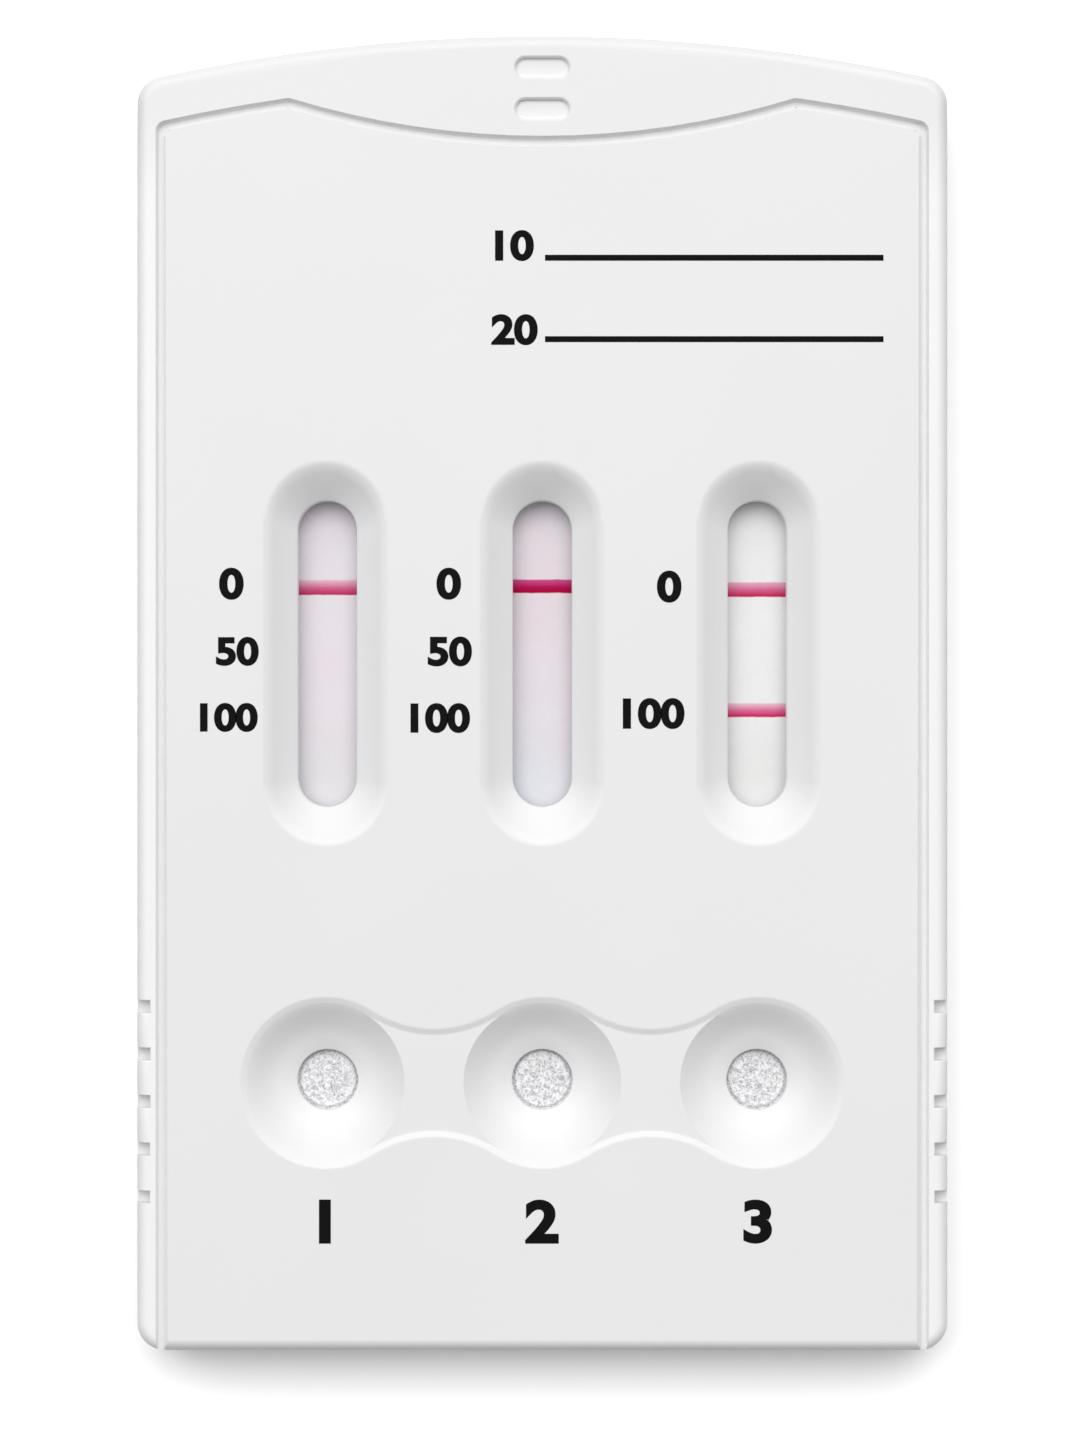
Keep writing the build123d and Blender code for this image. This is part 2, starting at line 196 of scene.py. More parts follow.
def nitrocellulose(name, sheet):
    material, tree = newMaterial(name)
    place = addNode(tree, "ShaderNodeTexCoord")
    axes = addNode(tree, "ShaderNodeSeparateXYZ", None, {"Vector": place.outputs["Object"]})
    mottle = addNode(tree, "ShaderNodeTexNoise",
                     {"Scale": 1 / (nitroSheet["mottle"] * mm), "Detail": 3.0, "Roughness": 0.65},
                     {"Vector": place.outputs["Object"]})
    stain = addNode(tree, "ShaderNodeTexNoise", {"Scale": 1 / (nitroSheet["clouds"] * mm), "Detail": 3.0},
                    {"Vector": place.outputs["Object"]})
    paper = addNode(tree, "ShaderNodeValToRGB", None, {"Fac": stain.outputs["Fac"]})
    paper.color_ramp.elements[0].position = 0.35
    paper.color_ramp.elements[0].color = linear(sheet["paper"])
    paper.color_ramp.elements[1].position = 0.65
    paper.color_ramp.elements[1].color = linear(sheet["stain"])
    dry, wet = nitroSheet["footTintRun"]
    footTintRun = addNode(tree, "ShaderNodeMapRange",
                     {"From Min": wet * mm, "From Max": dry * mm, "To Min": 1.0, "To Max": 0.0},
                     {"Value": axes.outputs["Y"]})
    footTint = addNode(tree, "ShaderNodeMix", None, {"Factor": footTintRun.outputs["Result"]}, data_type="RGBA",
                    blend_type="MULTIPLY")
    tree.links.new(paper.outputs["Color"], footTint.inputs["A"])
    footTint.inputs["B"].default_value = linear(sheet["footTint"])
    colour = footTint.outputs["Result"]
    # the line's edges wander a little with the pores
    wander = addNode(tree, "ShaderNodeTexNoise", {"Scale": 1 / (nitroSheet["wander"] * mm), "Detail": 2.0},
                     {"Vector": place.outputs["Object"]})
    run = nitroSheet["wanderRun"] * mm
    shift = addNode(tree, "ShaderNodeMapRange", {"To Min": -run, "To Max": run},
                    {"Value": wander.outputs["Fac"]})
    along = addNode(tree, "ShaderNodeMath", None, {0: axes.outputs["Y"], 1: shift.outputs["Result"]},
                    operation="ADD")
    for line in sheet["lines"]:
        below, above = line["foot"] - line["edge"] / 2, line["foot"] + line["height"] + line["fade"] / 2
        across = addNode(tree, "ShaderNodeMapRange", {"From Min": below * mm, "From Max": above * mm},
                         {"Value": along.outputs["Value"]})
        ramp = addNode(tree, "ShaderNodeValToRGB", None, {"Fac": across.outputs["Result"]})
        whole = above - below
        stops = ((0.0, line["low"], 0.0), (line["edge"] / whole, line["low"], 1.0),
                 (0.45, line["middle"], 1.0),
                 (1 - line["fade"] / whole, line["high"], 1.0), (1.0, line["high"], 0.0))
        while len(ramp.color_ramp.elements) < len(stops):
            ramp.color_ramp.elements.new(0.5)
        for element, (position, code, strength) in zip(ramp.color_ramp.elements, stops):
            element.position = position
            element.color = linear(code)[:3] + (strength,)
        mixed = addNode(tree, "ShaderNodeMix", None, {"Factor": ramp.outputs["Alpha"]}, data_type="RGBA")
        tree.links.new(colour, mixed.inputs["A"])
        tree.links.new(ramp.outputs["Color"], mixed.inputs["B"])
        colour = mixed.outputs["Result"]
    pores = addNode(tree, "ShaderNodeMapRange",
                    {"To Min": nitroSheet["pores"][0], "To Max": nitroSheet["pores"][1]},
                    {"Value": mottle.outputs["Fac"]})
    worn = addNode(tree, "ShaderNodeMix", {"Factor": 1.0}, None, data_type="RGBA", blend_type="MULTIPLY")
    tree.links.new(colour, worn.inputs["A"])
    tree.links.new(pores.outputs["Result"], worn.inputs["B"])
    bump = addNode(tree, "ShaderNodeBump", {"Strength": 0.25, "Distance": nitroSheet["mottleDepth"] * mm},
                   {"Height": mottle.outputs["Fac"]})
    shader = addNode(tree, "ShaderNodeBsdfPrincipled",
                     {"Roughness": 0.92, "IOR": 1.38, "Specular IOR Level": 0.15},
                     {"Base Color": worn.outputs["Result"], "Normal": bump.outputs["Normal"]})
    addNode(tree, "ShaderNodeOutputMaterial", None, {"Surface": shader.outputs["BSDF"]})
    return material


# Fibre pad, laid wet and dried: glass or cotton fibres of about 0.01 mm, matted in bundles that
# run every way. The bundles are drawn 0.1 mm wide and more, with grey gaps between them.
felting = {
    "turns": (12, 68, 131),    # degrees, the ways in which the bundles run
    "longer": 3.0,             # length of a bundle for its width
    "bendSize": 0.7,           # size of the bends in them
    "bend": (0.45, 0.45, 0.1),
    "speckSize": 0.22,
    "bumpDepth": 0.04,
}


def feltedFibre(name, pad):
    material, tree = newMaterial(name)
    place = addNode(tree, "ShaderNodeTexCoord")
    bent = addNode(tree, "ShaderNodeTexNoise", {"Scale": 1 / (felting["bendSize"] * mm), "Detail": 1.0},
                   {"Vector": place.outputs["Object"]})
    bend = addNode(tree, "ShaderNodeVectorMath", {1: [side * mm for side in felting["bend"]]},
                   {0: bent.outputs["Color"]}, operation="MULTIPLY")
    moved = addNode(tree, "ShaderNodeVectorMath", None,
                    {0: place.outputs["Object"], 1: bend.outputs["Vector"]}, operation="ADD")
    height = None
    for turn in felting["turns"]:
        laid = addNode(tree, "ShaderNodeMapping",
                       {"Rotation": (0, 0, math.radians(turn)), "Scale": (1.0, felting["longer"], 1.0)},
                       {"Vector": moved.outputs["Vector"]}, vector_type="TEXTURE")
        strand = addNode(tree, "ShaderNodeTexNoise",
                         {"Scale": 1 / (pad["bundle"] * mm), "Detail": 2.0, "Roughness": 0.55},
                         {"Vector": laid.outputs["Vector"]})
        if height is None:
            height = strand.outputs["Fac"]
        else:
            upper = addNode(tree, "ShaderNodeMath", None, {0: height, 1: strand.outputs["Fac"]},
                            operation="MAXIMUM")
            height = upper.outputs["Value"]
    felt = addNode(tree, "ShaderNodeValToRGB", None, {"Fac": height})
    felt.color_ramp.elements[0].position = 0.46
    felt.color_ramp.elements[0].color = linear(pad["gap"])
    felt.color_ramp.elements[1].position = 0.64
    felt.color_ramp.elements[1].color = linear(pad["fibre"])
    bits = addNode(tree, "ShaderNodeTexNoise",
                   {"Scale": 1 / (felting["speckSize"] * mm), "Detail": 3.0, "Roughness": 0.75},
                   {"Vector": place.outputs["Object"]})
    speck = addNode(tree, "ShaderNodeValToRGB", None, {"Fac": bits.outputs["Fac"]})
    speck.color_ramp.elements[0].position = 0.64
    speck.color_ramp.elements[0].color = (0, 0, 0, 1)
    speck.color_ramp.elements[1].position = 0.74
    speck.color_ramp.elements[1].color = (1, 1, 1, 1)
    colour = addNode(tree, "ShaderNodeMix", None, {"Factor": speck.outputs["Color"]}, data_type="RGBA")
    colour.inputs["B"].default_value = linear(pad["speck"])
    tree.links.new(felt.outputs["Color"], colour.inputs["A"])
    bump = addNode(tree, "ShaderNodeBump", {"Strength": 0.5, "Distance": felting["bumpDepth"] * mm},
                   {"Height": height})
    shader = addNode(tree, "ShaderNodeBsdfPrincipled",
                     {"Roughness": 0.85, "IOR": 1.5, "Specular IOR Level": 0.3, "Sheen Weight": 0.1,
                      "Sheen Roughness": 0.5},
                     {"Base Color": colour.outputs["Result"], "Normal": bump.outputs["Normal"]})
    addNode(tree, "ShaderNodeOutputMaterial", None, {"Surface": shader.outputs["BSDF"]})
    return material


# Rigid vinyl card with a pressure-sensitive face: calendered, so smooth and half glossy,
# with faint roller streaks along it.
def calenderedVinyl(name, card):
    material, tree = newMaterial(name)
    place = addNode(tree, "ShaderNodeTexCoord")
    stretch = addNode(tree, "ShaderNodeMapping", {"Scale": (1.0, card["streakShare"], 1.0)},
                      {"Vector": place.outputs["Object"]})
    streak = addNode(tree, "ShaderNodeTexNoise", {"Scale": 1 / (card["streak"] * mm), "Detail": 3.0},
                     {"Vector": stretch.outputs["Vector"]})
    tint = addNode(tree, "ShaderNodeValToRGB", None, {"Fac": streak.outputs["Fac"]})
    tint.color_ramp.elements[0].color = [card["streakShade"] * c for c in linear(card["colour"])[:3]] + [1]
    tint.color_ramp.elements[1].color = linear(card["colour"])
    gloss = addNode(tree, "ShaderNodeMapRange",
                    {"To Min": card["roughness"][0], "To Max": card["roughness"][1]},
                    {"Value": streak.outputs["Fac"]})
    shader = addNode(tree, "ShaderNodeBsdfPrincipled", {"IOR": 1.54},
                     {"Base Color": tint.outputs["Color"], "Roughness": gloss.outputs["Result"]})
    addNode(tree, "ShaderNodeOutputMaterial", None, {"Surface": shader.outputs["BSDF"]})
    return material


# Pad-printed ink, dried: a film of about 0.01 mm, black and duller than the plastic,
# a touch thinner in specks of about 0.1 mm where the pad lifted.
def padPrintedInk(name, layer):
    material, tree = newMaterial(name)
    place = addNode(tree, "ShaderNodeTexCoord")
    specks = addNode(tree, "ShaderNodeTexNoise",
                     {"Scale": 1 / (layer["speck"] * mm), "Detail": 3.0, "Roughness": 0.7},
                     {"Vector": place.outputs["Object"]})
    film = addNode(tree, "ShaderNodeValToRGB", None, {"Fac": specks.outputs["Fac"]})
    film.color_ramp.elements[0].position = 0.25
    film.color_ramp.elements[0].color = linear(layer["thinInk"])
    film.color_ramp.elements[1].position = 0.45
    film.color_ramp.elements[1].color = linear(layer["ink"])
    bump = addNode(tree, "ShaderNodeBump", {"Strength": 0.2, "Distance": layer["speckDepth"] * mm},
                   {"Height": specks.outputs["Fac"]})
    shader = addNode(tree, "ShaderNodeBsdfPrincipled",
                     {"Roughness": 0.7, "IOR": 1.45, "Specular IOR Level": 0.12},
                     {"Base Color": film.outputs["Color"], "Normal": bump.outputs["Normal"]})
    addNode(tree, "ShaderNodeOutputMaterial", None, {"Surface": shader.outputs["BSDF"]})
    return material


camera = {
    "height": 200.0,           # above the case
    "centre": (0.04, -1.72),
    "viewHeight": 80.2,        # what the picture takes in at the case's top
    "sensor": 36.0,
    "clipStart": 10.0,
}

bpy.ops.object.camera_add(location=(camera["centre"][0] * mm, camera["centre"][1] * mm,
                                    caseTop + camera["height"] * mm), rotation=(0, 0, 0))
cameraPiece = bpy.context.object
cameraPiece.name = "camera"
cameraPiece.data.sensor_width = camera["sensor"]
cameraPiece.data.lens = camera["sensor"] * camera["height"] / camera["viewHeight"]
cameraPiece.data.clip_start = camera["clipStart"] * mm
cameraPiece.data.dof.use_dof = False
scene.camera = cameraPiece


# The moulding's own solid, welded, with its small edges rounded off and its flats kept flat.
# A round is its radius, and the least and greatest angle in degrees of the edges that get it.
upperHousing = {
    "colour": "#EEEEEF",
    "grain": 0.14,
    "grainDepth": 0.01,
    "flow": 14.0,              # size of the faint clouds that the flow of the plastic leaves
    "flowShade": 0.985,        # how much darker they are
    "roughness": (0.36, 0.44),
    # a painted highlight: the rim strips along the sides are painted paler than the panel
    "paintedHighlight": {              # the strip starts at the first place and is whole at the second
        "colour": "#F8F8F9",
        "aside": (21.05, 21.25),
        "along": (32.2, 27.5),
        "up": (4.4, 5.0),
    },
    "smoothAngle": 19,         # degrees
    "halfWidth": 22.5,
    "near": 0.01,              # places that are this close count as the same
    "panelBevel": 0.20,        # along the groove, as the solid has it
    "panelTilt": (0.6, 0.8),   # upward share of its normals
    "panelWear": 0.12,         # how much of that bevel the tool leaves sharp
    "panelRound": (0.03, 40, 50),
    "grooveRound": (0.04, 70, 85),
    "wellsAside": 20.0,        # wells and channel lie between these
    "wellsAlong": (-28.0, -15.0),
    "bandDepth": 0.2,          # the sloping band round them goes this far down
    "bandTilt": (17, 23),      # degrees
    "bandRunOut": 0.12,        # strips along the band, where it runs out
    "stripPitch": 12.0,
    "funnelsFrom": -8.0,       # the funnels lie on the head's side of this
    "funnelFoot": 3.70,        # height of the edge between funnel and window
    "funnelRound": (0.08, 30, 60),
    "wellY": -21.6,
    "holeRadius": 1.7,
    "holeTop": 3.25,
    "holeRound": (0.06, 50, 80),
    "notches": 5,
    "notchFirst": -22.65,      # middle of the first
    "notchPitch": 2.63,
    "notchHalf": 0.35,
    "notchInner": 21.72,
    "notchFloor": 4.30,
    "notchRound": (0.06, 25, 95),
    "roundSteps": 5,
}
housingPlastic = mouldedPolystyrene("moulded_polystyrene_white", upperHousing)


def creases(mesh):
    # each edge with the angle in degrees between its two faces
    sides = {}
    for face in mesh.polygons:
        for key in face.edge_keys:
            sides.setdefault(key, []).append(face.normal)
    return [(edge, math.degrees(sides[edge.key][0].angle(sides[edge.key][1]))) for edge in mesh.edges]


def roundEdges(piece, size, chosen):
    # bevels the edges that have such an angle and both ends in the chosen place
    radius, least, greatest = size
    selectOnly(piece)
    mesh = piece.data
    pickNothing(mesh)
    count = 0
    for edge, angle in creases(mesh):
        if least < angle < greatest and all(chosen(mesh.vertices[v].co / mm) for v in edge.vertices):
            edge.select = True
            for v in edge.vertices:
                mesh.vertices[v].select = True
            count += 1
    editPicked("EDGE", bpy.ops.mesh.bevel, offset=radius * mm, segments=upperHousing["roundSteps"],
               affect="EDGES", clamp_overlap=False)
    return count


def finishMoulding(piece, smoothAngle, runsOut=None):
    selectOnly(piece)
    bpy.ops.object.shade_smooth_by_angle(angle=math.radians(smoothAngle), keep_sharp_edges=False)
    if runsOut:
        runsOut(piece)
    even = piece.modifiers.new("even_normals", "WEIGHTED_NORMAL")
    even.keep_sharp = True
    applyAll(piece)


def isAt(value, place):
    return abs(value - place) < upperHousing["near"]


def atFunnelFoot(point):
    return isAt(point.z, upperHousing["funnelFoot"]) and point.y > upperHousing["funnelsFrom"]


def atHoleTop(point):
    fromWell = min(math.hypot(point.x - pitch * upperHousing["stripPitch"], point.y - upperHousing["wellY"])
                   for pitch in (-1, 0, 1))
    onCircle = abs(fromWell - upperHousing["holeRadius"]) < 2 * upperHousing["near"]
    return isAt(point.z, upperHousing["holeTop"]) and onCircle


def onNotchRim(point):
    # the edges down the notches' walls, without those at their inner end and their floor
    step = (point.y - upperHousing["notchFirst"]) / upperHousing["notchPitch"]
    fromMiddle = abs(step - round(step)) * upperHousing["notchPitch"]
    aside, near = abs(point.x), upperHousing["near"]
    onWall = isAt(fromMiddle, upperHousing["notchHalf"]) and -1 < step < upperHousing["notches"]
    atInner = isAt(aside, upperHousing["notchInner"]) and point.z < caseTop / mm - near
    atFloor = isAt(point.z, upperHousing["notchFloor"]) and aside < upperHousing["halfWidth"] - near
    return onWall and aside > upperHousing["notchInner"] - near and not atInner and not atFloor


def onTopFace(point):
    return abs(point.z - caseTop / mm) < upperHousing["near"] / 2


def atWells(point):
    start, end = upperHousing["wellsAlong"]
    return (start < point.y < end and abs(point.x) < upperHousing["wellsAside"]
            and point.z > caseTop / mm - upperHousing["bandDepth"])


def softenWellBand(piece):
    # a strip inside each edge of the shallow slope round wells and channel, for its shading to run out in
    selectOnly(piece)
    mesh = piece.data
    pickNothing(mesh)
    least, greatest = upperHousing["bandTilt"]
    count = 0
    for face in mesh.polygons:
        tilt = math.degrees(math.acos(min(face.normal.z, 1.0)))
        if least < tilt < greatest and atWells(face.center / mm):
            face.select = True
            count += 1
    editPicked("FACE", bpy.ops.mesh.inset, thickness=upperHousing["bandRunOut"] * mm, use_even_offset=True,
               use_boundary=True)
    return count


def runOutWellBand(piece):
    # shades over the band's edges, but not where they meet the sharper edge between channel and bowl
    mesh = piece.data
    shallow = upperHousing["bandTilt"][1]
    rims = [(edge, angle) for edge, angle in creases(mesh)
            if all(atWells(mesh.vertices[v].co / mm) for v in edge.vertices)]
    sharper = {v for edge, angle in rims if angle > shallow for v in edge.vertices}
    for edge, angle in rims:
        if angle < shallow and not sharper.intersection(edge.vertices):
            edge.use_edge_sharp = False


def sharpenPanelEdge(piece):
    # brings the bevel beside the groove in to a narrow one: its top edge outwards, its foot up
    mesh = piece.data
    middle = caseTop / mm - upperHousing["panelBevel"] / 2
    flattest, steepest = upperHousing["panelTilt"]
    outward = {}
    for face in mesh.polygons:
        if isAt(face.center.z / mm, middle) and flattest < face.normal.z < steepest:
            for v in face.vertices:
                outward[v] = outward.get(v, Vector((0, 0))) + face.normal.xy.normalized()
    for v, direction in outward.items():
        point = mesh.vertices[v]
        if point.co.z > middle * mm:
            point.co.xy += direction.normalized() * upperHousing["panelWear"] * mm
        else:
            point.co.z += upperHousing["panelWear"] * mm
    return len(outward)


upperPiece = mergedCopy("upper_housing", "upper_moulding")
print("points of the panel's bevel moved:", sharpenPanelEdge(upperPiece))
print("faces of the band round the wells:", softenWellBand(upperPiece))
rounded = [roundEdges(upperPiece, upperHousing["funnelRound"], atFunnelFoot),
           roundEdges(upperPiece, upperHousing["holeRound"], atHoleTop),
           roundEdges(upperPiece, upperHousing["notchRound"], onNotchRim),
           roundEdges(upperPiece, upperHousing["panelRound"], onTopFace),
           roundEdges(upperPiece, upperHousing["grooveRound"], onTopFace)]
print("edges rounded at funnels, holes, notches, panel and groove:", rounded)
finishMoulding(upperPiece, upperHousing["smoothAngle"], runOutWellBand)
dress(upperPiece, housingPlastic)
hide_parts("upper_housing")
print("upper housing:", len(upperPiece.data.polygons), "faces")


lowerHousing = {"smoothAngle": 19}
lowerPiece = mergedCopy("lower_housing", "lower_moulding")
finishMoulding(lowerPiece, lowerHousing["smoothAngle"])
dress(lowerPiece, housingPlastic)
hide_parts("lower_housing")
print("lower housing:", len(lowerPiece.data.polygons), "faces")


backingCard = {
    "colour": "#F2F1EC",
    "streak": 0.3,             # width of the roller's streaks
    "streakShare": 0.04,       # their width for their length
    "streakShade": 0.94,       # how much darker they are
    "roughness": (0.22, 0.34),
}
cardVinyl = calenderedVinyl("calendered_vinyl_card", backingCard)
for number in (1, 2, 3):
    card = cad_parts[f"backing_card_{number}"]
    card.data.materials.clear()
    card.data.materials.append(cardVinyl)
print("backing cards dressed")


# A line's foot is the Y of its lower edge. Edge and fade are how wide its lower and upper edges blur.
# The third colour multiplies the sheet's colour towards the well, making it a little darker and less pink
# there.
membranes = {
    1: {"paper": "#EBE6EC", "stain": "#EBE3E9", "footTint": "#F6FAF7",
        "lines": [{"foot": 5.53, "height": 0.84, "edge": 0.07, "fade": 0.12,
                   "low": "#BE2A5C", "middle": "#D2638D", "high": "#E9B4CA"}]},
    2: {"paper": "#E9E3EA", "stain": "#EADFE5", "footTint": "#F5FFFE",
        "lines": [{"foot": 5.64, "height": 0.76, "edge": 0.06, "fade": 0.07,
                   "low": "#AE0034", "middle": "#B81455", "high": "#CC4F8C"}]},
    3: {"paper": "#F3F3F4", "stain": "#F1F0F0", "footTint": "#F4F5F4",
        "lines": [{"foot": 5.42, "height": 0.82, "edge": 0.07, "fade": 0.09,
                   "low": "#C41A50", "middle": "#D6608E", "high": "#E9A9C1"},
                  {"foot": -1.33, "height": 0.77, "edge": 0.07, "fade": 0.09,
                   "low": "#C91A56", "middle": "#DC6797", "high": "#EDBCCE"}]},
}
for number, sheet in membranes.items():
    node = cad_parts[f"membrane_{number}"]
    node.data.materials.clear()
    node.data.materials.append(nitrocellulose(f"cast_nitrocellulose_{number}", sheet))
print("membranes dressed")


fibrePads = {
    "sample": {"cell": 0.13, "sink": 0.05, "grain": 0.3, "bundle": 0.1,
               "fibre": "#FCFCFD", "gap": "#BEBEC0", "speck": "#9C9B99", "slot": "cotton_fibre"},
    "conjugate": {"cell": 0.2, "sink": 0.05, "grain": 0.4, "bundle": 0.2,
                  "fibre": "#E9DADF", "gap": "#C6AEB8", "speck": "#A98A97", "slot": "glass_fibre"},
    "absorbent": {"cell": 0.25, "sink": 0.08, "grain": 0.6, "bundle": 0.25,
                  "fibre": "#F3F1EC", "gap": "#D2CFC8", "speck": "#BFBAB0", "slot": "cotton_fibre"},
}
hole = {
    "rim": 1.68,               # just inside the housing's hole
    "rimBand": 0.06,           # points this close to the rim go down
    "skin": 0.05,              # and only those this near the pad's top
    "fine": 2.0,               # the pad is finer out to here
    "facingUp": 0.7,           # least upward share of the normals there
    "dip": 0.16,               # how far the pad sinks against the rim
    "dipRun": 0.13,
    "open": 1.5,               # loose strands lie inside this
    "underLap": 0.4,           # the pad's top at its lap with the next is this much higher
    "seed": 40,
    "strands": 110,
    "strandLength": 0.7,
    "strandScale": (0.45, 1.0),
    "strandWidth": 0.03,
    "strandBow": 55,           # degrees
    "strandTilt": 0.04,        # radians
    "strandSunk": 0.025,
}


def wellCentre(number):
    return Vector(((number - 2) * upperHousing["stripPitch"], upperHousing["wellY"]))


def sinkAtHole(piece, number):
    # finer cells under the hole, and a dip all round where the housing presses on the pad
    middle = wellCentre(number)
    mesh = piece.data
    selectOnly(piece)
    pickNothing(mesh)
    for face in mesh.polygons:
        fromMiddle = ((face.center / mm).xy - middle).length
        face.select = face.normal.z > hole["facingUp"] and fromMiddle < hole["fine"]
    editPicked("FACE", bpy.ops.mesh.subdivide, number_cuts=1)
    top = max(v.co.z for v in mesh.vertices if (v.co.xy / mm - middle).length < hole["rim"])
    pickNothing(mesh)
    for vertex in mesh.vertices:
        away = abs((vertex.co.xy / mm - middle).length - hole["rim"])
        vertex.select = away < hole["rimBand"] and vertex.co.z > top - hole["skin"] * mm
    editPicked("VERT", bpy.ops.transform.translate, value=(0, 0, -hole["dip"] * mm),
               use_proportional_edit=True, proportional_edit_falloff="SMOOTH",
               proportional_size=hole["dipRun"] * mm)


def makePad(kind, number, pad, material):
    # the pad's own solid, remeshed fine and sunk here and there so that its faces look felted
    piece = mergedCopy(f"{kind}_pad_{number}", f"{kind}_felt_{number}")
    remesh = piece.modifiers.new("fine_cells", "REMESH")
    remesh.mode = "VOXEL"
    remesh.voxel_size = pad["cell"] * mm
    applyAll(piece)
    if kind == "sample":
        sinkAtHole(piece, number)
    cloud = bpy.data.textures.new(f"{kind}_felt_{number}", "CLOUDS")
    cloud.noise_scale = pad["grain"] * mm
    cloud.noise_depth = 2
    felt = piece.modifiers.new("felt", "DISPLACE")
    felt.texture = cloud
    felt.texture_coords = "LOCAL"
    felt.mid_level = 0.0
    felt.strength = -pad["sink"] * mm
    applyAll(piece)
    bpy.ops.object.shade_smooth()
    dress(piece, material)
    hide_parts(f"{kind}_pad_{number}")
    return piece


def looseStrands(number, material):
    # one bowed strand, drawn once, then copies of it thrown on the pad inside the hole
    random.seed(hole["seed"] + number)
    selectOnly()
    bpy.ops.mesh.primitive_cylinder_add(vertices=5, radius=hole["strandWidth"] / 2 * mm,
                                        depth=hole["strandLength"] * mm, rotation=(0, math.radians(90), 0))
    strand = bpy.context.object
    bpy.ops.object.transform_apply(location=True, rotation=True, scale=True)
    pickNothing(strand.data)
    for edge in strand.data.edges:
        start, end = (strand.data.vertices[v].co for v in edge.vertices)
        edge.select = abs(start.x - end.x) > 0.5 * hole["strandLength"] * mm
    editPicked("EDGE", bpy.ops.mesh.subdivide, number_cuts=4)
    bow = strand.modifiers.new("bow", "SIMPLE_DEFORM")
    bow.deform_method = "BEND"
    bow.deform_axis = "Z"
    bow.angle = math.radians(hole["strandBow"])
    applyAll(strand)
    bpy.ops.object.shade_smooth()
    middle = wellCentre(number)
    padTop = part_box(f"sample_pad_{number}")[1].z - hole["underLap"] * mm
    lean = hole["strandTilt"]
    thrown = []
    for index in range(hole["strands"]):
        copy = strand.copy()
        copy.data = strand.data.copy()
        scene.collection.objects.link(copy)
        scale = random.uniform(*hole["strandScale"])
        room = hole["open"] - 0.5 * scale * hole["strandLength"]
        away, bearing = room * math.sqrt(random.random()), random.uniform(0, 2 * math.pi)
        copy.location = ((middle.x + away * math.cos(bearing)) * mm,
                         (middle.y + away * math.sin(bearing)) * mm,
                         padTop - random.uniform(0.0, hole["strandSunk"]) * mm)
        copy.rotation_euler = (random.uniform(-lean, lean), random.uniform(-lean, lean),
                               random.uniform(0, 2 * math.pi))
        copy.scale = (scale, scale, 1.0)
        thrown.append(copy)
    bpy.data.objects.remove(strand)
    selectOnly(*thrown)
    bpy.ops.object.join()
    strands = bpy.context.object
    bpy.ops.object.transform_apply(location=True, rotation=True, scale=True)
    strands.name = strands.data.name = f"loose_strands_{number}"
    dress(strands, material)


for kind, pad in fibrePads.items():
    padFibre = feltedFibre(f"felted_fibre_{kind}", pad)
    for number in (1, 2, 3):
        felted = makePad(kind, number, pad, padFibre)
        if kind == "sample":
            looseStrands(number, padFibre)
    print(kind, "pads:", len(felted.data.polygons), "faces each")


# Two write-in rules and plain numbers, as thin films of ink on the panel.
printing = {
    "ink": "#0B0B0C",
    "thinInk": "#161618",
    "speck": 0.1,
    "speckDepth": 0.005,
    "film": 0.012,             # thickness of the ink
    "bite": 0.004,             # how far it reaches into the panel, so that no gap shows
    "ruleEdge": 0.004,
    "weight": 0.04,            # boldness, as a share of the height of the type
    "wide": 1.15,
    "letterDepth": 0.1,        # of the type, before it is pressed down to the film
    "weld": 0.003,
    "rules": [                 # left, right, foot, top
        (0.15, 18.90, 23.94, 24.27), (0.15, 18.90, 19.43, 19.76),
    ],
    "numbers": [               # text, middle x, foot y, height
        ("10", -1.54, 23.92, 1.72), ("20", -1.54, 19.26, 1.72),
        ("0", -17.22, 5.16, 1.78), ("50", -16.89, 1.50, 1.61), ("100", -17.36, -2.16, 1.61),
        ("0", -5.18, 5.16, 1.78), ("50", -5.12, 1.47, 1.66), ("100", -5.65, -2.22, 1.66),
        ("0", 7.03, 5.00, 1.78), ("100", 6.17, -2.00, 1.72),
        ("1", -12.04, -30.5, 2.44), ("2", -0.02, -30.5, 2.44), ("3", 11.93, -30.5, 2.44),
    ],
}
ink = padPrintedInk("pad_printed_ink", printing)
inkMiddle = caseTop + (printing["film"] - printing["bite"]) / 2 * mm


def printRule(name, left, right, foot, top):
    selectOnly()
    middle = ((left + right) / 2 * mm, (foot + top) / 2 * mm, inkMiddle)
    span = ((right - left) * mm, (top - foot) * mm, (printing["film"] + printing["bite"]) * mm)
    bpy.ops.mesh.primitive_cube_add(size=1, location=middle, scale=span)
    rule = bpy.context.object
    rule.name = rule.data.name = name
    bpy.ops.object.transform_apply(location=True, rotation=True, scale=True)
    bpy.ops.object.mode_set(mode="EDIT")
    bpy.ops.mesh.select_all(action="SELECT")
    bpy.ops.mesh.bevel(offset=printing["ruleEdge"] * mm, segments=2, affect="EDGES")
    bpy.ops.object.mode_set(mode="OBJECT")
    dress(rule, ink)


